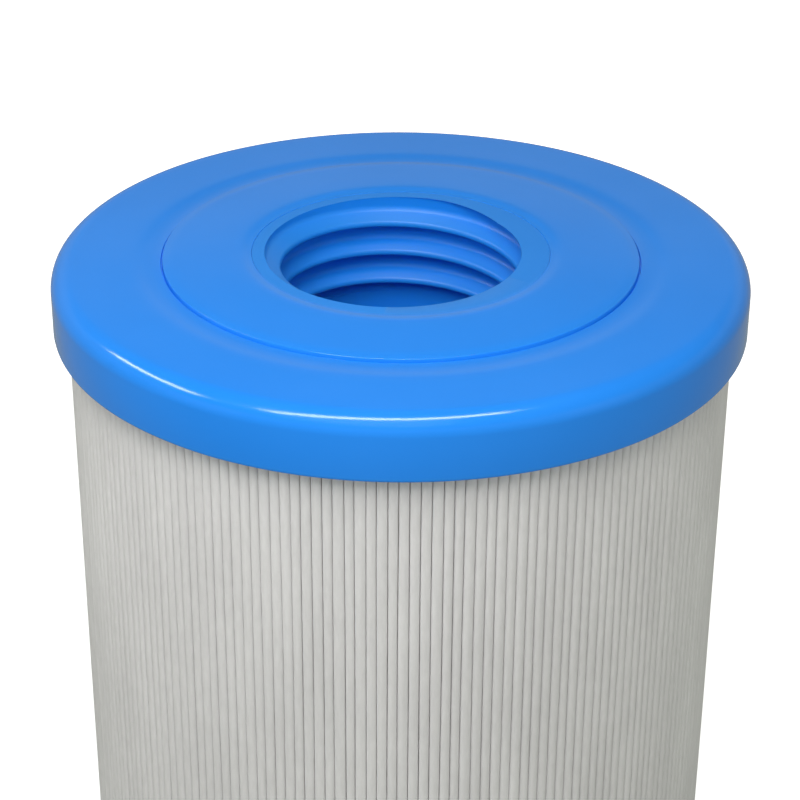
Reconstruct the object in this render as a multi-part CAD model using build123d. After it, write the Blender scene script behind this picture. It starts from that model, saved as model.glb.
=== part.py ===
from build123d import *
from math import cos, pi, radians, sin, tan
import os

os.makedirs("parts", exist_ok=True)

# Screw-in pleated filter cartridge for a spa.  Millimetres.
# It stands on its closed cap at Z = 0, threaded end up, with Z as its axis.

# --- end caps ------------------------------------------------------------
CAP_RADIUS = 85.7            # 6 3/4 in over the caps
CAP_HEIGHT = 15.9            # 5/8 in, rim plane to the lip of the skirt
CAP_EDGE_ROUND = 4.95        # between the rim and the side
CAP_LIP_ROUND = 0.9
RIM_HEIGHT = 243.1           # rim plane of the threaded cap above the base
MEDIA_EMBEDDED = 7.3         # length of media held inside each cap
SKIRT_CLEARANCE = 0.2

# --- raised disc of the threaded cap -------------------------------------
MOAT_OUTER_RADIUS = 66.0     # where the rim starts to dish down to the moat
MOAT_MIDDLE_RADIUS = 61.0
MOAT_DEPTH = 0.3
DISC_RADIUS = 58.4           # brink of the step down into the moat
DISC_EDGE_HEIGHT = 0.55      # above the rim plane
DISC_EDGE_ROUND = 0.5
DISC_STEP_WIDTH = 0.5        # of the steep face under the brink
DISC_SHOULDER_RADIUS = 55.5  # outside it the disc curves down a little
DISC_SHOULDER_HEIGHT = 0.92
DISC_CROWN_RADIUS = 39.7
DISC_CROWN_HEIGHT = 1.4      # 244.5 mm overall, 9 5/8 in
CROWN_INNER_RADIUS = 37.6    # where the step down to the insert begins
CROWN_INNER_HEIGHT = 1.25

# --- threaded insert -----------------------------------------------------
INSERT_RADIUS = 36.6         # plug that stands in the core
INSERT_TOP_HEIGHT = 0.95     # top face above the rim plane
INSERT_LENGTH = 41.0
ANCHOR_RADIUS = 52.0         # flange cast into the cap, on the core and the media
ANCHOR_THICKNESS = 3.0
ANCHOR_HOLES = 16
ANCHOR_HOLE_RADIUS = 2.6
ANCHOR_HOLE_CIRCLE = 46.5

THREAD_CREST_RADIUS = 29.6
THREAD_ROOT_RADIUS = 33.5
THREAD_PITCH = 8.0
THREAD_CREST_WIDTH = 1.2     # before its edges are rounded
THREAD_LOWER_FLANK = 13.0    # degrees from square to the axis
THREAD_UPPER_FLANK = 30.0
THREAD_LOWER_CREST_ROUND = 0.5
THREAD_UPPER_CREST_ROUND = 1.1
THREAD_LOWER_ROOT_ROUND = 1.8
THREAD_UPPER_ROOT_ROUND = 1.0
THREAD_FIRST_EDGE = 6.8      # lower edge of the first whole crest below the top face, towards +Y
THREAD_END = 25.2            # below the top face, where the crest runs out
THREAD_RUN_OUT = 2.4         # height of the cone that ends it
RELIEF_RADIUS = 33.7         # plain recess below the thread, clear of its root
RELIEF_END = 33.0            # where the recess closes to the pilot collar

# --- pleated media -------------------------------------------------------
PLEATS = 208
FIRST_PLEAT = radians(-89.2)  # the pleat beside the seam, at the front
MEDIA_OUTER_RADIUS = 82.15
MEDIA_INNER_RADIUS = 40.5
SHEET_THICKNESS = 0.4
PLEAT_TIP_WIDTH = 2.06
PLEAT_TIP_ROUND = 0.55       # how far back from the tip the fold starts to curve
SEAM_THICKNESS = 0.3         # bead of glue where the ends of the sheet meet

# --- core ----------------------------------------------------------------
CORE_INNER_RADIUS = 37.0
CORE_OUTER_RADIUS = 40.0
CORE_NODES = ("core_section_lower", "core_section_middle", "core_section_upper")
SPIGOT_LENGTH = 4.0
SPIGOT_GAP = 0.1
WINDOWS_AROUND = 12
WINDOW_WIDTH = 13.0
WINDOW_HEIGHT = 9.0
WINDOW_SPACING = 12.6        # of the rows, up the core

# --- closed end ----------------------------------------------------------
FOOT_INNER_RADIUS = 60.0     # the flat ring the cartridge stands on
FOOT_RECESS = 0.8
GRIP_CUP_RADIUS = 32.5
GRIP_CUP_DEPTH = 24.0
GRIP_FLOOR = 3.0
GRIP_BAR_WIDTH = 13.0
GRIP_BAR_DEPTH = 9.0
GRIP_BAR_ROUND = 2.5
GRIP_BAR_SET_IN = 1.2

MEDIA_BOTTOM = CAP_HEIGHT - MEDIA_EMBEDDED
MEDIA_TOP = RIM_HEIGHT - CAP_HEIGHT + MEDIA_EMBEDDED
INSERT_TOP = RIM_HEIGHT + INSERT_TOP_HEIGHT


def turned(points):
    """A solid of revolution about Z from (radius, height) points."""
    outline = Polyline(*[(r, 0, z) for r, z in points], close=True)
    return revolve(make_face(outline), Axis.Z, 360)


def ring(inner, outer, bottom, top):
    """A plain ring between two heights."""
    return turned([(inner, bottom), (outer, bottom), (outer, top), (inner, top)])


def disc(radius, bottom, top):
    """A plain cylinder between two heights."""
    return Pos(0, 0, bottom) * extrude(Circle(radius), top - bottom)


def circle_edges(solid, radius, height, slack=0.02):
    """The circular edges of one radius at one height."""
    return [
        e
        for e in solid.edges().filter_by(GeomType.CIRCLE)
        if abs(e.radius - radius) < slack and abs(e.arc_center.Z - height) < slack
    ]


# -------------------------------------------------------------------------
# Threaded insert
# -------------------------------------------------------------------------

def groove_section():
    """The thread's groove: X from the crest to the root, Y up, Y = 0 at the crest edge above it."""
    depth = THREAD_ROOT_RADIUS - THREAD_CREST_RADIUS
    proud = 0.08     # the tool starts just inside the crest, so its rounding blends in
    root_top = -depth * tan(radians(THREAD_LOWER_FLANK))
    crest_below = THREAD_CREST_WIDTH - THREAD_PITCH
    root_bottom = crest_below + depth * tan(radians(THREAD_UPPER_FLANK))
    corners = {
        "crest_above": (-proud, proud * tan(radians(THREAD_LOWER_FLANK))),
        "root_top": (depth, root_top),
        "root_bottom": (depth, root_bottom),
        "crest_below": (-proud, crest_below - proud * tan(radians(THREAD_UPPER_FLANK))),
    }
    rounds = {
        "crest_above": THREAD_LOWER_CREST_ROUND,
        "root_top": THREAD_UPPER_ROOT_ROUND,
        "root_bottom": THREAD_LOWER_ROOT_ROUND,
        "crest_below": THREAD_UPPER_CREST_ROUND,
    }
    top = corners["crest_above"][1] + 0.5
    bottom = corners["crest_below"][1] - 0.9
    outline = Polyline(
        (-1.5, top),
        (-proud, top),
        *corners.values(),
        (-proud, bottom),
        (-1.5, bottom),
        close=True,
    )
    section = make_face(outline)
    for name, (x, y) in corners.items():
        vertex = section.vertices().sort_by_distance((x, y, 0))[0]
        section = fillet(vertex, rounds[name])
    return section


def groove_turn():
    """One turn of the groove, starting towards -Y with its upper edge at Z = 0."""
    path = Helix(THREAD_PITCH, THREAD_PITCH, THREAD_CREST_RADIUS)
    plane = Plane(origin=(THREAD_CREST_RADIUS, 0, 0), x_dir=(1, 0, 0), z_dir=(0, -1, 0))
    return Rot(0, 0, -90) * sweep(plane * groove_section(), path=path, is_frenet=True)


def cut_thread(body):
    """Cut the groove a turn at a time, from inside the recess up through the top face."""
    start = INSERT_TOP - THREAD_FIRST_EDGE - 2.5 * THREAD_PITCH
    turn = groove_turn()
    for index in range(5):
        body -= Pos(0, 0, start + index * THREAD_PITCH) * turn
    return body


def thread_insert():
    """Rigid plug with a coarse rounded female thread, a flange for the cap to grip and a pilot collar."""
    bottom = INSERT_TOP - INSERT_LENGTH
    thread_end = INSERT_TOP - THREAD_END
    relief_end = INSERT_TOP - RELIEF_END
    anchor_bottom = MEDIA_TOP
    anchor_top = anchor_bottom + ANCHOR_THICKNESS
    body = turned([
        (THREAD_CREST_RADIUS, bottom),
        (INSERT_RADIUS - 1.0, bottom),
        (INSERT_RADIUS, bottom + 2.0),
        (INSERT_RADIUS, anchor_bottom),
        (ANCHOR_RADIUS, anchor_bottom),
        (ANCHOR_RADIUS, anchor_top),
        (INSERT_RADIUS, anchor_top),
        (INSERT_RADIUS, INSERT_TOP),
        (THREAD_CREST_RADIUS, INSERT_TOP),
        (THREAD_CREST_RADIUS, thread_end + THREAD_RUN_OUT / 2),
        (RELIEF_RADIUS, thread_end - THREAD_RUN_OUT / 2),
        (RELIEF_RADIUS, relief_end),
        (THREAD_CREST_RADIUS, relief_end - 2.0),
    ])
    holes = PolarLocations(ANCHOR_HOLE_CIRCLE, ANCHOR_HOLES)
    body -= [
        Pos(0, 0, anchor_bottom) * place * Cylinder(ANCHOR_HOLE_RADIUS, 3 * ANCHOR_THICKNESS)
        for place in holes
    ]
    return cut_thread(body)


# -------------------------------------------------------------------------
# End caps
# -------------------------------------------------------------------------

def cap_blank(profile_inside):
    """A cap's outside with the given (radius, height) line across its face, rim plane at Z = 0."""
    cap = turned([
        (0, -CAP_HEIGHT),
        (CAP_RADIUS, -CAP_HEIGHT),
        (CAP_RADIUS, 0),
        *profile_inside,
    ])
    cap = fillet(circle_edges(cap, CAP_RADIUS, 0), CAP_EDGE_ROUND)
    return fillet(circle_edges(cap, CAP_RADIUS, -CAP_HEIGHT), CAP_LIP_ROUND)


def channel():
    """The space in a cap for the media and the core, rim plane at Z = 0."""
    top = MEDIA_EMBEDDED - CAP_HEIGHT
    return disc(MEDIA_OUTER_RADIUS + SKIRT_CLEARANCE, -CAP_HEIGHT - 1, top)


def threaded_cap(insert):
    """Cast end cap with a shallow moat round its raised disc, closed round the insert."""
    cap = cap_blank([
        (MOAT_OUTER_RADIUS, 0),
        (MOAT_MIDDLE_RADIUS + 2.0, -MOAT_DEPTH * 0.75),
        (MOAT_MIDDLE_RADIUS, -MOAT_DEPTH),
        (DISC_RADIUS + DISC_STEP_WIDTH, -MOAT_DEPTH * 0.6),
        (DISC_RADIUS, DISC_EDGE_HEIGHT),
        (DISC_SHOULDER_RADIUS, DISC_SHOULDER_HEIGHT),
        (DISC_CROWN_RADIUS, DISC_CROWN_HEIGHT),
        (CROWN_INNER_RADIUS, CROWN_INNER_HEIGHT),
        (INSERT_RADIUS, INSERT_TOP_HEIGHT),
        (0, INSERT_TOP_HEIGHT),
    ])
    cap = fillet(circle_edges(cap, DISC_RADIUS, DISC_EDGE_HEIGHT), DISC_EDGE_ROUND)
    cap = cap - channel() - disc(INSERT_RADIUS, -CAP_HEIGHT - 1, 5)
    return Pos(0, 0, RIM_HEIGHT) * cap - insert


def closed_cap(insert):
    """Cast end cap at the base: the cartridge stands on its flat outer ring."""
    cap = cap_blank([
        (FOOT_INNER_RADIUS, 0),
        (FOOT_INNER_RADIUS - 1.5, -FOOT_RECESS),
        (0, -FOOT_RECESS),
    ])
    cap = cap - channel() - disc(INSERT_RADIUS, -CAP_HEIGHT - 1, 5)
    return Rot(180, 0, 0) * cap - insert


def grip_insert():
    """Rigid plug of the closed end: a finger cup with a bar across it, and a flange for the cap."""
    face = FOOT_RECESS
    anchor_top = MEDIA_BOTTOM
    anchor_bottom = anchor_top - ANCHOR_THICKNESS
    top = face + GRIP_CUP_DEPTH + GRIP_FLOOR
    plug = turned([
        (0, face),
        (INSERT_RADIUS, face),
        (INSERT_RADIUS, anchor_bottom),
        (ANCHOR_RADIUS, anchor_bottom),
        (ANCHOR_RADIUS, anchor_top),
        (INSERT_RADIUS, anchor_top),
        (INSERT_RADIUS, top - 2.0),
        (INSERT_RADIUS - 1.0, top),
        (0, top),
    ])
    holes = PolarLocations(ANCHOR_HOLE_CIRCLE, ANCHOR_HOLES)
    plug -= [
        Pos(0, 0, anchor_top) * place * Cylinder(ANCHOR_HOLE_RADIUS, 3 * ANCHOR_THICKNESS)
        for place in holes
    ]
    cup = disc(GRIP_CUP_RADIUS, face - 1, face + GRIP_CUP_DEPTH)
    cup = fillet(circle_edges(cup, GRIP_CUP_RADIUS, face + GRIP_CUP_DEPTH), 4.0)
    bar_centre = face + GRIP_BAR_SET_IN + GRIP_BAR_DEPTH / 2
    bar = Box(2 * GRIP_CUP_RADIUS + 4, GRIP_BAR_WIDTH, GRIP_BAR_DEPTH)
    bar = fillet(bar.edges().filter_by(Axis.X), GRIP_BAR_ROUND)
    return plug - (cup - Pos(0, 0, bar_centre) * bar)


# -------------------------------------------------------------------------
# Core
# -------------------------------------------------------------------------

def windows(bottom, top):
    """Rows of openings round one section of the core, every other row turned half a step."""
    rows = int((top - bottom) / WINDOW_SPACING)
    spacing = (top - bottom) / rows
    cutters = []
    for row in range(rows):
        height = bottom + (row + 0.5) * spacing
        for place in range(WINDOWS_AROUND):
            angle = (place + 0.5 * (row % 2)) * 360 / WINDOWS_AROUND
            cutter = Pos(CORE_OUTER_RADIUS, 0, 0) * Box(12, WINDOW_WIDTH, WINDOW_HEIGHT)
            cutters.append(Pos(0, 0, height) * Rot(0, 0, angle) * cutter)
    return cutters


def core_section(index, bottom, top):
    """One moulded length of the core, with a spigot up into the next one."""
    half = (CORE_INNER_RADIUS + CORE_OUTER_RADIUS) / 2
    section = ring(CORE_INNER_RADIUS, CORE_OUTER_RADIUS, bottom, top)
    first_window = bottom + SPIGOT_LENGTH + 2
    last_window = top - 2
    if index == 0:
        first_window += 26          # solid round the grip plug
    else:
        section -= ring(0.5 * CORE_INNER_RADIUS, half + SPIGOT_GAP, bottom - 1, bottom + SPIGOT_LENGTH + SPIGOT_GAP)
    if index == len(CORE_NODES) - 1:
        last_window -= 32           # solid round the threaded plug
    else:
        section += ring(CORE_INNER_RADIUS, half, top, top + SPIGOT_LENGTH)
    return section - windows(first_window, last_window)


# -------------------------------------------------------------------------
# Media
# -------------------------------------------------------------------------

def polar(radius, offset, angle):
    """A point at a radius on the line at an angle, moved sideways by an offset."""
    return (
        radius * cos(angle) - offset * sin(angle),
        radius * sin(angle) + offset * cos(angle),
    )


def pleat_outline(tip_radius, tip_half, shoulder, root_radius, root_half):
    """One closed zigzag line round all the pleats."""
    pitch = 2 * pi / PLEATS
    points = []
    for pleat in range(PLEATS):
        tip = FIRST_PLEAT + pleat * pitch
        root = tip + pitch / 2
        points += [
            polar(tip_radius - shoulder, -tip_half, tip),
            polar(tip_radius, -tip_half + 0.75 * shoulder, tip),
            polar(tip_radius, tip_half - 0.75 * shoulder, tip),
            polar(tip_radius - shoulder, tip_half, tip),
            polar(root_radius, -root_half, root),
            polar(root_radius, root_half, root),
        ]
    return make_face(Polyline(*points, close=True))


def pleated_media():
    """The folded sheet: every pleat is two plies that meet at the tip and at the core."""
    root_pitch = 2 * pi * MEDIA_INNER_RADIUS / PLEATS
    tip_half = PLEAT_TIP_WIDTH / 2
    outside = pleat_outline(
        MEDIA_OUTER_RADIUS,
        tip_half,
        PLEAT_TIP_ROUND,
        MEDIA_INNER_RADIUS + SHEET_THICKNESS,
        0.06,
    )
    inside = pleat_outline(
        MEDIA_OUTER_RADIUS - SHEET_THICKNESS,
        tip_half - SHEET_THICKNESS,
        0.6 * PLEAT_TIP_ROUND,
        MEDIA_INNER_RADIUS,
        root_pitch / 2 - 0.06,
    )
    return Pos(0, 0, MEDIA_BOTTOM) * extrude(outside - inside, MEDIA_TOP - MEDIA_BOTTOM)


def pleat_seam():
    """The bead of glue in the gap where the two ends of the sheet meet."""
    gap_middle = FIRST_PLEAT - pi / PLEATS
    outer = MEDIA_OUTER_RADIUS - 2.5
    inner = MEDIA_OUTER_RADIUS - 14.0
    outline = Polyline(
        polar(inner, -SEAM_THICKNESS / 3, gap_middle),
        polar(outer, -SEAM_THICKNESS / 2, gap_middle),
        polar(outer, SEAM_THICKNESS / 2, gap_middle),
        polar(inner, SEAM_THICKNESS / 3, gap_middle),
        close=True,
    )
    bottom = CAP_HEIGHT + 0.5
    top = RIM_HEIGHT - CAP_HEIGHT - 0.5
    return Pos(0, 0, bottom) * extrude(make_face(outline), top - bottom)


# -------------------------------------------------------------------------
# Write the parts
# -------------------------------------------------------------------------

def main():
    insert = thread_insert()
    grip = grip_insert()
    parts = {
        "thread_insert": insert,
        "threaded_cap": threaded_cap(insert),
        "grip_insert": grip,
        "closed_cap": closed_cap(grip),
        "pleated_media": pleated_media(),
        "pleat_seam": pleat_seam(),
    }
    core_length = MEDIA_TOP - MEDIA_BOTTOM
    for index, node in enumerate(CORE_NODES):
        bottom = MEDIA_BOTTOM + core_length * index / len(CORE_NODES)
        top = MEDIA_BOTTOM + core_length * (index + 1) / len(CORE_NODES)
        parts[node] = core_section(index, bottom, top)
    for node, shape in parts.items():
        export_step(shape, f"parts/{node}.step")
        print(node, shape.volume, len(shape.faces()), len(shape.solids()), shape.is_valid)


main()
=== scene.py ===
"""Screw-in pleated filter cartridge: the visual model and its studio.

The lengths named below are millimetres, as in the CAD; everything made in Blender is in metres.
"""

import math

import bmesh
import bpy
from mathutils import Euler, Matrix, Vector, noise


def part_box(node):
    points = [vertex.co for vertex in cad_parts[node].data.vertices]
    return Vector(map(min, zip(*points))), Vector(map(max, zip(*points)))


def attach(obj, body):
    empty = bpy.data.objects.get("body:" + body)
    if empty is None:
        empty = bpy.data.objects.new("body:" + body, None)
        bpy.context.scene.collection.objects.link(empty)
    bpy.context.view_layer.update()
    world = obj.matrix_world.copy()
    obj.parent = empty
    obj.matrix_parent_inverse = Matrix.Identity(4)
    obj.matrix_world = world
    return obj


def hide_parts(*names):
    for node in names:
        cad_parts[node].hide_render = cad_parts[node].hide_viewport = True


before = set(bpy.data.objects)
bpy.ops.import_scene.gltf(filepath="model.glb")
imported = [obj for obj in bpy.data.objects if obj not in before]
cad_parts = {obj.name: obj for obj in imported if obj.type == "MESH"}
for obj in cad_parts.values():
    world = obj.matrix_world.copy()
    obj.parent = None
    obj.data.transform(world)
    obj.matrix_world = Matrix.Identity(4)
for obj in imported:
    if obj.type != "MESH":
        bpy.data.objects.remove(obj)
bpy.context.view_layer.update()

MM = 0.001
BODY = "root"
TOP_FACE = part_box("thread_insert")[1].z / MM        # top face of the insert, round the hole
INSERT_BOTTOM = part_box("thread_insert")[0].z / MM
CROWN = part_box("threaded_cap")[1].z / MM            # highest point of the raised disc
CAP_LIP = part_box("threaded_cap")[0].z / MM
CAP_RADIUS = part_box("threaded_cap")[1].x / MM
CAP_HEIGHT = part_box("closed_cap")[1].z / MM
MEDIA_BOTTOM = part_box("pleated_media")[0].z / MM
MEDIA_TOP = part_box("pleated_media")[1].z / MM
RIM = CAP_LIP + CAP_HEIGHT                          # rim plane of the threaded cap

# Threaded cap; the heights of its disc and the depth of its moat are from the rim plane
EDGE_ROUND = 4.95
LIP_ROUND = 0.9
RIM_LEVEL = 2.0              # flat width inside the edge's rounding
RIM_MIDDLE_RADIUS = 72.0
MOAT_OUTER_RADIUS = 66.0
MOAT_MIDDLE_RADIUS = 61.0
MOAT_DEPTH = 0.3
DISC_RADIUS = 58.4
DISC_EDGE_HEIGHT = 0.55
DISC_EDGE_ROUND = 0.25
DISC_STEP_WIDTH = 0.5
DISC_SHOULDER_RADIUS = 55.5
DISC_SHOULDER_HEIGHT = 0.92
DISC_CROWN_RADIUS = 39.7
CROWN_INNER_RADIUS = 37.6
CROWN_INNER_HEIGHT = 1.12
INSERT_STEP = 0.1            # the cap's inner edge stands this far above the insert
SEAM_WIDTH = 0.3             # fine groove at the foot of the disc's step
SEAM_DEPTH = 0.4
INSERT_RADIUS = 36.6
SKIRT_RADIUS = 82.35         # inside of the skirts, round the media
SKIRT_BEVEL = 0.4            # at the skirts' inner edge
CHANNEL_DEPTH = 8.0          # of the threaded cap's open channel for the media
CHANNEL_GAP = 0.2            # between the media's end and the closed cap
STRAIGHT_SIDE = 3.0          # from the edge's rounding down to the side's next point
SIDE_END = 5.0               # from the closed cap's lip down to the side's last point
CAST_UNEVENNESS = 0.05       # lift of the threaded cap's surface, up or down
UNEVENNESS_SCALE = 0.045     # waves per millimetre

# Thread
CREST_RADIUS = 29.6
ROOT_RADIUS = 33.5
PITCH = 8.0
CREST_WIDTH = 1.2            # before its edges are rounded
LOWER_FLANK = 13.0           # degrees from square to the axis
UPPER_FLANK = 30.0
LOWER_CREST_ROUND = 0.5
UPPER_CREST_ROUND = 1.1
LOWER_ROOT_ROUND = 1.8
UPPER_ROOT_ROUND = 1.0
FIRST_EDGE = 6.8             # lower edge of the first whole crest below the top face, towards +Y
THREAD_END = 25.2
RUN_OUT = 2.4
RELIEF_RADIUS = 33.7
RELIEF_END = 33.0
COLLAR_LEAD = 2.0            # height of the cone from the recess to the pilot collar
PLUG_TAPER = 1.0             # of the plug's lower end

# Closed cap
FOOT_INNER_RADIUS = 60.0     # inside of the flat ring it stands on
FOOT_RECESS = 0.8

# Pleats
PLEATS = 208
FIRST_PLEAT = math.radians(-89.2)
MEDIA_RADIUS = 82.15
ROOT_OF_PLEATS = 41.2
TIP_DEPTH = 0.75             # of the rounded fold
NECK_DEPTH = 1.25            # below the tips, where neighbouring pleats come closest
GAP_WIDTH = 0.10             # between neighbouring pleats there
TIP_SET_BACK = 0.1           # mean distance of the tips inside the media's radius
REACH_SPREAD = 0.10          # of the tips, from pleat to pleat
REACH_WANDER = 0.05          # of a tip, up its pleat
GAP_SPREAD = 0.085           # sideways, in pleats, from gap to gap
GAP_WANDER = 0.05            # sideways, in pleats, up one gap

ROUND_STEPS = 288

# Least turn between faces that still shows as an edge, degrees
CAP_SHARP = 50.0
INSERT_SHARP = 32.0
PLEAT_SHARP = 75.0


# -------------------------------------------------------------------------
# Mesh helpers
# -------------------------------------------------------------------------

def mesh_object(name, vertices, faces, sharp_degrees=40.0):
    """A smooth-shaded object with sharp edges where faces turn by more than an angle."""
    mesh = bpy.data.meshes.new(name)
    mesh.from_pydata([Vector(v) * MM for v in vertices], [], faces)
    mesh.validate()
    mesh.update()
    for polygon in mesh.polygons:
        polygon.use_smooth = True
    mesh.set_sharp_from_angle(angle=math.radians(sharp_degrees))
    obj = bpy.data.objects.new(name, mesh)
    bpy.context.scene.collection.objects.link(obj)
    return obj


def around(step):
    """The angle of one step round the axis."""
    return 2 * math.pi * step / ROUND_STEPS


def ring_faces(rows, steps):
    """Quads between closed rings of vertices, the first ring first."""
    faces = []
    for row in range(rows - 1):
        for step in range(steps):
            following = (step + 1) % steps
            faces.append((
                row * steps + step,
                row * steps + following,
                (row + 1) * steps + following,
                (row + 1) * steps + step,
            ))
    return faces


def arc(centre_r, centre_z, radius, start, end, steps):
    """Points along an arc in the (radius, height) plane, angles in degrees."""
    points = []
    for step in range(steps + 1):
        angle = math.radians(start + (end - start) * step / steps)
        points.append((centre_r + radius * math.cos(angle), centre_z + radius * math.sin(angle)))
    return points


def turned(name, outline, sharp_degrees, unevenness=0.0):
    """A closed outline of (radius, height) points turned about Z, lifted a little here and there."""
    vertices = []
    for radius, height in outline:
        for step in range(ROUND_STEPS):
            angle = around(step)
            x = radius * math.cos(angle)
            y = radius * math.sin(angle)
            place = Vector((x * UNEVENNESS_SCALE, y * UNEVENNESS_SCALE, height * UNEVENNESS_SCALE / 1.5))
            lift = unevenness * noise.noise(place)
            vertices.append((x, y, height + lift))
    rows = len(outline)
    faces = ring_faces(rows, ROUND_STEPS)
    last = (rows - 1) * ROUND_STEPS
    for step in range(ROUND_STEPS):
        following = (step + 1) % ROUND_STEPS
        faces.append((last + step, last + following, following, step))
    return mesh_object(name, vertices, faces, sharp_degrees)


def smooth_steps(points, steps):
    """Points on a smooth curve through the given (radius, height) points."""
    result = []
    ends = [points[0], *points, points[-1]]
    for index in range(1, len(ends) - 2):
        a, b, c, d = (Vector(p) for p in ends[index - 1:index + 3])
        for step in range(steps):
            t = step / steps
            p = 0.5 * (
                2 * b
                + (c - a) * t
                + (2 * a - 5 * b + 4 * c - d) * t * t
                + (3 * b - a - 3 * c + d) * t * t * t
            )
            result.append((p.x, p.y))
    result.append(tuple(points[-1]))
    return result


# -------------------------------------------------------------------------
# Caps
# -------------------------------------------------------------------------

def threaded_cap():
    """The blue cast cap round the thread: rounded rim, shallow moat, raised disc."""
    rim = RIM
    outline = arc(CAP_RADIUS - LIP_ROUND, CAP_LIP + LIP_ROUND, LIP_ROUND, -90, 0, 5)
    outline += [(CAP_RADIUS, rim - EDGE_ROUND - STRAIGHT_SIDE)]
    outline += arc(CAP_RADIUS - EDGE_ROUND, rim - EDGE_ROUND, EDGE_ROUND, 0, 90, 18)
    outline += smooth_steps([
        (CAP_RADIUS - EDGE_ROUND - RIM_LEVEL, rim),
        (RIM_MIDDLE_RADIUS, rim),
        (MOAT_OUTER_RADIUS, rim),
        (MOAT_MIDDLE_RADIUS + 2.0, rim - 0.75 * MOAT_DEPTH),
        (MOAT_MIDDLE_RADIUS, rim - MOAT_DEPTH),
        (DISC_RADIUS + DISC_STEP_WIDTH + 0.7, rim - 0.85 * MOAT_DEPTH),
        (DISC_RADIUS + DISC_STEP_WIDTH, rim - 0.6 * MOAT_DEPTH),
    ], 6)
    seam_inside = DISC_RADIUS + DISC_STEP_WIDTH - SEAM_WIDTH
    seam_floor = (seam_inside, rim - MOAT_DEPTH - SEAM_DEPTH)
    brink = (DISC_RADIUS, rim + DISC_EDGE_HEIGHT)
    shoulder = (DISC_SHOULDER_RADIUS, rim + DISC_SHOULDER_HEIGHT)
    outline += [(seam_inside + SEAM_WIDTH / 2, seam_floor[1]), seam_floor]
    outline += rounded_corner(seam_floor, brink, shoulder, DISC_EDGE_ROUND, 7)
    outline += smooth_steps([
        (DISC_RADIUS - 1.0, rim + DISC_EDGE_HEIGHT + 0.15),
        shoulder,
        (50.0, rim + 1.12),
        (44.0, rim + 1.33),
        (DISC_CROWN_RADIUS, CROWN),
        (CROWN_INNER_RADIUS, rim + CROWN_INNER_HEIGHT),
        (INSERT_RADIUS + INSERT_STEP, TOP_FACE + INSERT_STEP),
    ], 6)
    outline += [
        (INSERT_RADIUS, TOP_FACE - INSERT_STEP),
        (INSERT_RADIUS, CAP_LIP + CHANNEL_DEPTH),
        (SKIRT_RADIUS, CAP_LIP + CHANNEL_DEPTH),
        (SKIRT_RADIUS, CAP_LIP + SKIRT_BEVEL),
        (SKIRT_RADIUS + SKIRT_BEVEL, CAP_LIP),
    ]
    return turned("threaded_cap_skin", outline, CAP_SHARP, CAST_UNEVENNESS)


def closed_cap():
    """The cast cap at the base, which the cartridge stands on."""
    outline = [
        (SKIRT_RADIUS + SKIRT_BEVEL, CAP_HEIGHT),
        (SKIRT_RADIUS, CAP_HEIGHT - SKIRT_BEVEL),
        (SKIRT_RADIUS, MEDIA_BOTTOM + CHANNEL_GAP),
        (INSERT_RADIUS, MEDIA_BOTTOM + CHANNEL_GAP),
        (INSERT_RADIUS, FOOT_RECESS),
    ]
    outline += smooth_steps([
        (FOOT_INNER_RADIUS - 12.0, FOOT_RECESS),
        (FOOT_INNER_RADIUS - 2.5, FOOT_RECESS),
        (FOOT_INNER_RADIUS - 1.0, FOOT_RECESS / 2),
        (FOOT_INNER_RADIUS + 0.5, 0.0),
        (FOOT_INNER_RADIUS + 6.0, 0.0),
        (CAP_RADIUS - EDGE_ROUND - RIM_LEVEL, 0.0),
    ], 5)
    outline += arc(CAP_RADIUS - EDGE_ROUND, EDGE_ROUND, EDGE_ROUND, -90, 0, 18)
    outline += [(CAP_RADIUS, CAP_HEIGHT - SIDE_END)]
    outline += arc(CAP_RADIUS - LIP_ROUND, CAP_HEIGHT - LIP_ROUND, LIP_ROUND, 0, 90, 5)
    return turned("closed_cap_skin", outline, CAP_SHARP)


# -------------------------------------------------------------------------
# Threaded insert
# -------------------------------------------------------------------------

def rounded_corner(before, corner, after, radius, steps):
    """Points round a filleted corner of a line in the plane."""
    corner = Vector(corner)
    towards = (Vector(before) - corner).normalized()
    away = (Vector(after) - corner).normalized()
    half = towards.angle(away) / 2
    reach = radius / math.tan(half)
    centre = corner + (towards + away).normalized() * (radius / math.sin(half))
    start = corner + towards * reach - centre
    end = corner + away * reach - centre
    points = []
    for step in range(steps + 1):
        direction = start.lerp(end, step / steps).normalized()
        points.append(tuple(centre + direction * radius))
    return points


def thread_profile():
    """One pitch of the thread going down from a crest's lower edge: (depth from crest, drop)."""
    depth = ROOT_RADIUS - CREST_RADIUS
    crest_top = PITCH - CREST_WIDTH
    crest_above = (0.0, -CREST_WIDTH)
    edge = (0.0, 0.0)
    root_top = (depth, depth * math.tan(math.radians(LOWER_FLANK)))
    root_bottom = (depth, crest_top - depth * math.tan(math.radians(UPPER_FLANK)))
    shoulder = (0.0, crest_top)
    crest_below = (0.0, PITCH)
    points = []
    points += rounded_corner(crest_above, edge, root_top, LOWER_CREST_ROUND, 6)
    points += rounded_corner(edge, root_top, root_bottom, UPPER_ROOT_ROUND, 5)
    points += rounded_corner(root_top, root_bottom, shoulder, LOWER_ROOT_ROUND, 6)
    points += rounded_corner(root_bottom, shoulder, crest_below, UPPER_CREST_ROUND, 9)
    return points


def profile_depth(profile, drop):
    """How far the thread's wall stands back from the crest at a drop below a crest's lower edge."""
    drop = drop % PITCH
    before = (profile[-1][0], profile[-1][1] - PITCH)
    after = (profile[0][0], profile[0][1] + PITCH)
    wrapped = [before, *profile, after]
    for (depth_a, drop_a), (depth_b, drop_b) in zip(wrapped, wrapped[1:]):
        if drop_a <= drop <= drop_b:
            return depth_a + (depth_b - depth_a) * (drop - drop_a) / max(drop_b - drop_a, 1e-9)
    return 0.0


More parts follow.
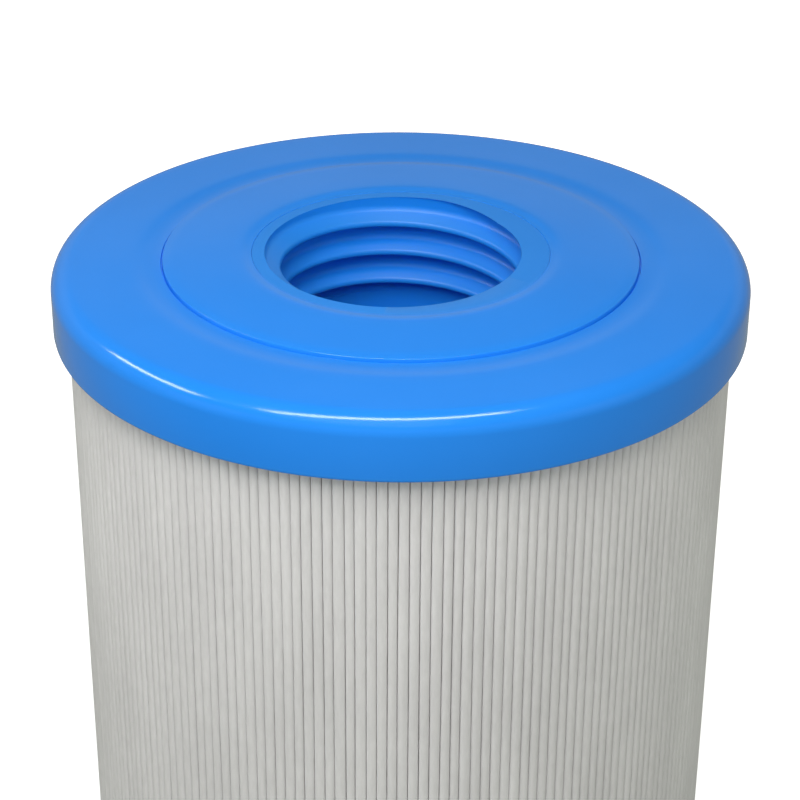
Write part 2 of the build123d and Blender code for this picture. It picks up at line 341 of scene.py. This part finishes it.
def first_edge(angle):
    """Height of the first whole crest's lower edge at an angle; FIRST_EDGE gives it towards +Y."""
    return TOP_FACE - FIRST_EDGE + PITCH * (angle / (2 * math.pi) - 0.25)


def relief_depth(height):
    """How far the plain recess under the thread stands back from the crest at a height."""
    cone_top = TOP_FACE - THREAD_END + RUN_OUT / 2
    share = (cone_top - height) / RUN_OUT
    return max(0.0, min(1.0, share)) * (RELIEF_RADIUS - CREST_RADIUS)


def threaded_wall():
    """(vertices, faces, columns) of the threaded wall: rows along the helix, level at the top face."""
    profile = thread_profile()
    per_turn = len(profile)
    turns = 6                # enough for the wall to reach from the top face past the run-out
    rows = per_turn * turns
    columns = ROUND_STEPS
    wall_bottom = TOP_FACE - THREAD_END - RUN_OUT
    vertices = []
    for row in range(rows):
        turn, place = divmod(row, per_turn)
        point_depth, point_drop = profile[place]
        for column in range(columns):
            angle = around(column)
            edge = first_edge(angle) + PITCH
            height = edge - point_drop - turn * PITCH + PITCH
            depth = point_depth
            if height > TOP_FACE:
                height = TOP_FACE
                depth = profile_depth(profile, edge - height)
            height = max(height, wall_bottom)
            depth = max(depth, relief_depth(height))
            radius = CREST_RADIUS + depth
            vertices.append((radius * math.cos(angle), radius * math.sin(angle), height))
    faces = []
    for row in range(rows - 1):
        for column in range(columns - 1):
            corner = row * columns + column
            faces.append((corner, corner + columns, corner + columns + 1, corner + 1))
    for row in range(per_turn, rows - 1):
        last = row * columns + columns - 1
        first = (row - per_turn) * columns
        faces.append((last, last + columns, first + columns, first))
    return vertices, faces, columns


def thread_insert():
    """The rigid insert: its threaded wall, recess, pilot collar, outside and top face."""
    vertices, faces, columns = threaded_wall()
    profile = thread_profile()
    rings = []

    def add_ring(radius_at, height):
        start = len(vertices)
        for column in range(columns):
            angle = around(column)
            radius = radius_at(angle)
            vertices.append((radius * math.cos(angle), radius * math.sin(angle), height))
        rings.append(start)

    def mouth(angle):
        return CREST_RADIUS + profile_depth(profile, first_edge(angle) - TOP_FACE)

    relief_end = TOP_FACE - RELIEF_END
    add_ring(lambda a: RELIEF_RADIUS, TOP_FACE - THREAD_END - RUN_OUT)
    add_ring(lambda a: RELIEF_RADIUS, relief_end)
    add_ring(lambda a: CREST_RADIUS, relief_end - COLLAR_LEAD)
    add_ring(lambda a: CREST_RADIUS, INSERT_BOTTOM)
    add_ring(lambda a: INSERT_RADIUS - PLUG_TAPER, INSERT_BOTTOM)
    add_ring(lambda a: INSERT_RADIUS, INSERT_BOTTOM + 2 * PLUG_TAPER)
    add_ring(lambda a: INSERT_RADIUS, TOP_FACE)
    add_ring(mouth, TOP_FACE)
    for a, b in zip(rings, rings[1:]):
        for column in range(columns):
            following = (column + 1) % columns
            faces.append((a + column, b + column, b + following, a + following))
    obj = mesh_object("thread_insert_skin", vertices, faces, INSERT_SHARP)
    weld(obj)
    return obj


def weld(obj):
    """Merges vertices that lie on each other, and turns all the faces outwards."""
    mesh = bmesh.new()
    mesh.from_mesh(obj.data)
    bmesh.ops.remove_doubles(mesh, verts=mesh.verts, dist=2e-6)
    bmesh.ops.recalc_face_normals(mesh, faces=mesh.faces)
    mesh.to_mesh(obj.data)
    mesh.free()
    obj.data.set_sharp_from_angle(angle=math.radians(INSERT_SHARP))


# -------------------------------------------------------------------------
# Pleats
# -------------------------------------------------------------------------

TIP_STEPS = 10
MEDIA_ROWS = 30


def sway(pleat, height, salt, scale):
    """A slow random number for one pleat at one height, about -1 to 1."""
    return 1.6 * noise.noise(Vector((pleat * 7.31 + salt, salt * 3.7, height * scale)))


def gap_place(gap, height):
    """Where the gap after one pleat lies round the tips, in pleats from the first one."""
    gap = gap % PLEATS
    drift = GAP_SPREAD * sway(gap, 0.0, 1.7, 0.0) + GAP_WANDER * sway(gap, height, 5.1, 0.014)
    return gap + 0.5 + drift


def pleat_shape(pleat, height):
    """(middle, half width, tip radius) of one pleat at one height; the middle in pleats."""
    before = gap_place(pleat - 1, height)
    after = gap_place(pleat, height)
    if before > after:
        before -= PLEATS
    pitch = 2 * math.pi * MEDIA_RADIUS / PLEATS
    gap = GAP_WIDTH * (1.0 + 0.5 * sway(pleat, height, 9.3, 0.01))
    reach = REACH_SPREAD * sway(pleat, 0.0, 4.2, 0.0) + REACH_WANDER * sway(pleat, height, 6.6, 0.02)
    half_width = ((after - before) * pitch - gap) / 2
    return (before + after) / 2, half_width, MEDIA_RADIUS - TIP_SET_BACK + reach


def pleats():
    """The folded sheet: rounded tips that almost touch, flanks down to the core."""
    vertices = []
    pitch = 2 * math.pi / PLEATS
    neck_radius = MEDIA_RADIUS - NECK_DEPTH
    narrowing = neck_radius / MEDIA_RADIUS
    per_pleat = TIP_STEPS + 4            # the tip's points, two necks and the root
    for row in range(MEDIA_ROWS):
        height = MEDIA_BOTTOM + (MEDIA_TOP - MEDIA_BOTTOM) * row / (MEDIA_ROWS - 1)
        for pleat in range(PLEATS):
            middle, half, tip = pleat_shape(pleat, height)
            across = []
            for step in range(TIP_STEPS + 1):
                turn = math.pi * (step / TIP_STEPS) - math.pi / 2
                across.append((half * math.sin(turn), tip - TIP_DEPTH * (1 - math.cos(turn))))
            neck = narrowing * half
            across = [(-neck, neck_radius), *across, (neck, neck_radius)]
            for sideways, radius in across:
                angle = FIRST_PLEAT + middle * pitch + sideways / radius
                vertices.append((radius * math.cos(angle), radius * math.sin(angle), height))
            angle = FIRST_PLEAT + (pleat + 0.5) * pitch
            vertices.append((
                ROOT_OF_PLEATS * math.cos(angle),
                ROOT_OF_PLEATS * math.sin(angle),
                height,
            ))
    steps = per_pleat * PLEATS
    return mesh_object("pleated_media_skin", vertices, ring_faces(MEDIA_ROWS, steps), PLEAT_SHARP)


# -------------------------------------------------------------------------
# Materials
# -------------------------------------------------------------------------

class Nodes:
    """Short calls for building one material's node tree."""

    def __init__(self, name):
        self.material = bpy.data.materials.new(name)
        self.material.use_nodes = True
        self.tree = self.material.node_tree
        self.shader = self.tree.nodes["Principled BSDF"]

    def add(self, kind, **inputs):
        node = self.tree.nodes.new(kind)
        for key, value in inputs.items():
            node.inputs[key.replace("_", " ")].default_value = value
        return node

    def link(self, source, target):
        self.tree.links.new(source, target)

    def place(self, scale):
        """Object coordinates, scaled along each axis."""
        where = self.add("ShaderNodeTexCoord")
        mapping = self.add("ShaderNodeMapping", Scale=scale)
        self.link(where.outputs["Object"], mapping.inputs["Vector"])
        return mapping.outputs["Vector"]

    def noise(self, scale, detail=3.0, roughness=0.5, stretch=(1, 1, 1)):
        node = self.add("ShaderNodeTexNoise", Scale=scale, Detail=detail, Roughness=roughness)
        self.link(self.place(stretch), node.inputs["Vector"])
        return node.outputs["Fac"]

    def ramp(self, value, low, high, low_at=0.3, high_at=0.7):
        """A value turned into a colour between two others."""
        node = self.add("ShaderNodeValToRGB")
        node.color_ramp.elements[0].position = low_at
        node.color_ramp.elements[0].color = (*low, 1)
        node.color_ramp.elements[1].position = high_at
        node.color_ramp.elements[1].color = (*high, 1)
        self.link(value, node.inputs["Fac"])
        return node.outputs["Color"]

    def number(self, value, low, high):
        """A 0 to 1 value stretched between two numbers."""
        node = self.add("ShaderNodeMapRange")
        node.inputs["To Min"].default_value = low
        node.inputs["To Max"].default_value = high
        self.link(value, node.inputs["Value"])
        return node.outputs["Result"]

    def bump(self, height, strength, distance):
        node = self.add("ShaderNodeBump", Strength=strength, Distance=distance)
        self.link(height, node.inputs["Height"])
        self.link(node.outputs["Normal"], self.shader.inputs["Normal"])


def blue_plastic(name, low, high, roughness):
    """Glossy moulded plastic: slight colour drift, faint orange peel."""
    m = Nodes(name)
    m.link(m.ramp(m.noise(18.0), low, high), m.shader.inputs["Base Color"])
    drift = m.noise(60.0, detail=4.0)
    m.link(m.number(drift, roughness - 0.02, roughness + 0.03), m.shader.inputs["Roughness"])
    m.shader.inputs["IOR"].default_value = 1.46
    m.bump(m.noise(420.0, detail=2.0), 0.03, 0.0004)
    return m.material


def media_material():
    """White spun polyester: fine fibres that run mostly up the pleat, and soft grey blotches."""
    m = Nodes("spun_polyester")
    fibres = m.noise(900.0, detail=5.0, roughness=0.65, stretch=(1.0, 1.0, 0.22))
    blotches = m.noise(70.0, detail=4.0, stretch=(1.0, 1.0, 0.35))
    mix = m.add("ShaderNodeMath")
    mix.operation = "ADD"
    half = m.add("ShaderNodeMath")
    half.operation = "MULTIPLY"
    half.inputs[1].default_value = 0.5
    m.link(fibres, mix.inputs[0])
    m.link(blotches, mix.inputs[1])
    m.link(mix.outputs[0], half.inputs[0])
    colour = m.ramp(half.outputs[0], (0.73, 0.71, 0.73), (0.82, 0.80, 0.82), 0.36, 0.62)
    m.link(colour, m.shader.inputs["Base Color"])
    m.shader.inputs["Roughness"].default_value = 0.9
    m.shader.inputs["Specular IOR Level"].default_value = 0.2
    m.bump(fibres, 0.35, 0.0002)
    return m.material


def core_material():
    """White moulded polypropylene with a faint satin grain."""
    m = Nodes("core_polypropylene")
    m.link(m.ramp(m.noise(30.0), (0.70, 0.71, 0.70), (0.80, 0.81, 0.80)), m.shader.inputs["Base Color"])
    m.link(m.number(m.noise(90.0), 0.38, 0.50), m.shader.inputs["Roughness"])
    m.bump(m.noise(500.0), 0.08, 0.0003)
    return m.material


def glue_material():
    """Pale amber hot-melt glue."""
    m = Nodes("seam_glue")
    m.link(m.ramp(m.noise(120.0), (0.66, 0.60, 0.44), (0.78, 0.74, 0.62)), m.shader.inputs["Base Color"])
    m.link(m.number(m.noise(200.0), 0.2, 0.4), m.shader.inputs["Roughness"])
    m.bump(m.noise(160.0), 0.3, 0.0006)
    return m.material


def floor_material():
    """White studio floor that glows enough to read as paper white."""
    m = Nodes("studio_white")
    m.link(m.ramp(m.noise(2.0), (0.86, 0.86, 0.86), (0.88, 0.88, 0.88)), m.shader.inputs["Base Color"])
    m.shader.inputs["Roughness"].default_value = 0.9
    m.shader.inputs["Emission Color"].default_value = (1, 1, 1, 1)
    m.shader.inputs["Emission Strength"].default_value = 0.70
    return m.material


# -------------------------------------------------------------------------
# Put it together
# -------------------------------------------------------------------------

def paint(obj, material):
    """Gives every slot of an object one material."""
    if not obj.material_slots:
        obj.data.materials.append(material)
        return
    for place in obj.material_slots:
        place.material = material


def stand_for(obj, node, material):
    """Puts a detailed piece in the place of one CAD node."""
    paint(obj, material)
    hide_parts(node)
    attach(obj, BODY)


def build_object():
    """All the pieces of the cartridge, each with its material."""
    cap_blue = blue_plastic("cap_polyurethane", (0.010, 0.250, 0.91), (0.018, 0.268, 0.95), 0.14)
    insert_blue = blue_plastic("insert_plastic", (0.008, 0.242, 0.84), (0.014, 0.262, 0.88), 0.44)
    stand_for(threaded_cap(), "threaded_cap", cap_blue)
    stand_for(closed_cap(), "closed_cap", cap_blue)
    stand_for(thread_insert(), "thread_insert", insert_blue)
    stand_for(pleats(), "pleated_media", media_material())
    core = core_material()
    for node in ("core_section_upper", "core_section_middle", "core_section_lower"):
        paint(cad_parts[node], core)
    paint(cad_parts["grip_insert"], insert_blue)
    paint(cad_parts["pleat_seam"], glue_material())


def lamp(name, start, end, width, radiance, target):
    """A rectangular lamp of a stated radiance that runs from one point to another and faces a third."""
    start = Vector(start)
    end = Vector(end)
    data = bpy.data.lights.new(name, "AREA")
    data.shape = "RECTANGLE"
    data.size = (end - start).length
    data.size_y = width
    data.energy = radiance * math.pi * data.size * width
    obj = bpy.data.objects.new(name, data)
    bpy.context.scene.collection.objects.link(obj)
    along = (end - start).normalized()
    across = ((start + end) / 2 - Vector(target)).cross(along).normalized()
    away = along.cross(across)
    turn = Matrix((along, across, away)).transposed().to_4x4()
    obj.matrix_world = Matrix.Translation((start + end) / 2) @ turn
    return obj


SKY_TINT = (0.96, 1.02, 0.87)
SKY_BELOW = 0.33             # radiance under the walls
SKY_WALL = 0.42
SKY_HIGH = 0.26
WALL_FOOT = 9.0              # degrees above the horizon
WALL_TOP = 24.7
FOOT_BLUR = 0.01             # half width of the soft edges of the wall, of the ramp's length
TOP_BLUR = 0.006


def world_light():
    """A grey room with a pale band of wall round it."""
    world = bpy.data.worlds.new("studio_world")
    world.use_nodes = True
    tree = world.node_tree
    where = tree.nodes.new("ShaderNodeTexCoord")
    parts = tree.nodes.new("ShaderNodeSeparateXYZ")
    tree.links.new(where.outputs["Generated"], parts.inputs["Vector"])
    stretch = tree.nodes.new("ShaderNodeMapRange")
    stretch.inputs["From Min"].default_value = -1.0
    tree.links.new(parts.outputs["Z"], stretch.inputs["Value"])
    ramp = tree.nodes.new("ShaderNodeValToRGB")
    wall_foot = 0.5 + 0.5 * math.sin(math.radians(WALL_FOOT))
    wall_top = 0.5 + 0.5 * math.sin(math.radians(WALL_TOP))
    stops = ramp.color_ramp.elements
    levels = (
        (wall_foot - FOOT_BLUR, SKY_BELOW),
        (wall_foot + FOOT_BLUR, SKY_WALL),
        (wall_top - TOP_BLUR, SKY_WALL),
        (wall_top + TOP_BLUR, SKY_HIGH),
    )
    while len(stops) < len(levels):
        stops.new(0.5)
    for stop, (position, level) in zip(stops, levels):
        stop.position = position
        stop.color = (*(level * share for share in SKY_TINT), 1)
    tree.links.new(stretch.outputs["Result"], ramp.inputs["Fac"])
    tree.links.new(ramp.outputs["Color"], tree.nodes["Background"].inputs["Color"])
    bpy.context.scene.world = world


# Lamps: the ends of each one's middle line, metres from the middle of the top face
STRIPS = {
    "left_strip": ((-1.04, 0.46, 0.75), (-0.90, -0.28, 0.75)),
    "front_strip": ((-0.53, -0.45, 0.75), (0.28, -0.14, 0.75)),
}
STRIP_WIDTH = 0.13
STRIP_RADIANCE = 16.0
KEY = ((-0.26, -0.28, 0.34), (0.09, -0.28, 0.34))
KEY_WIDTH = 0.30
KEY_RADIANCE = 5.5
FILLS = {
    "right_fill": ((0.80, -0.70, 0.15), (0.98, -0.30, 0.15)),
    "left_fill": ((-0.98, -0.30, 0.10), (-0.80, -0.70, 0.10)),
    "back_fill": ((-0.50, 1.00, 0.05), (0.50, 1.00, 0.05)),
}
FILL_WIDTH = 0.50
FILL_RADIANCE = 2.0


def lamps():
    """Strips that show only as highlights; a key and fills that light only the matte part."""
    top = Vector((0, 0, TOP_FACE * MM))
    front_edge = top + Vector((0, -0.085, 0))
    for name, (start, end) in STRIPS.items():
        strip = lamp(name, top + Vector(start), top + Vector(end), STRIP_WIDTH, STRIP_RADIANCE, top)
        strip.visible_diffuse = False
    start, end = KEY
    key = lamp("key", top + Vector(start), top + Vector(end), KEY_WIDTH, KEY_RADIANCE, front_edge)
    key.visible_glossy = False
    for name, (start, end) in FILLS.items():
        fill = lamp(name, top + Vector(start), top + Vector(end), FILL_WIDTH, FILL_RADIANCE, front_edge)
        fill.visible_glossy = False


FLOOR_HALF = 6000.0          # half the floor's side
FLOOR_DROP = 0.2             # below the base, so that the two never fight


def studio():
    """Floor, world and lamps."""
    floor = mesh_object(
        "studio_floor",
        [
            (-FLOOR_HALF, -FLOOR_HALF, 0),
            (FLOOR_HALF, -FLOOR_HALF, 0),
            (FLOOR_HALF, FLOOR_HALF, 0),
            (-FLOOR_HALF, FLOOR_HALF, 0),
        ],
        [(0, 1, 2, 3)],
    )
    floor.location.z = -FLOOR_DROP * MM
    paint(floor, floor_material())
    floor.visible_glossy = False
    floor.visible_diffuse = False
    world_light()
    lamps()


CAMERA_PLACE = Vector((0.0, -0.51825, RIM * MM + 0.23412))
CAMERA_PITCH = 27.94         # degrees below the horizon
CAMERA_ROLL = 0.36
CAMERA_LENS = 103.85


def camera():
    """The camera looks down on the threaded end from the front."""
    data = bpy.data.cameras.new("camera")
    data.sensor_width = 36.0
    data.lens = CAMERA_LENS
    obj = bpy.data.objects.new("camera", data)
    bpy.context.scene.collection.objects.link(obj)
    look = Euler((math.radians(90 - CAMERA_PITCH), 0, 0)).to_matrix()
    roll = Matrix.Rotation(math.radians(CAMERA_ROLL), 3, "Z")
    obj.rotation_euler = (look @ roll).to_euler()
    obj.location = CAMERA_PLACE
    data.clip_start = 0.01
    data.clip_end = 50.0
    bpy.context.scene.camera = obj


build_object()
studio()
camera()
bpy.context.scene.view_settings.view_transform = "Standard"
bpy.context.view_layer.update()
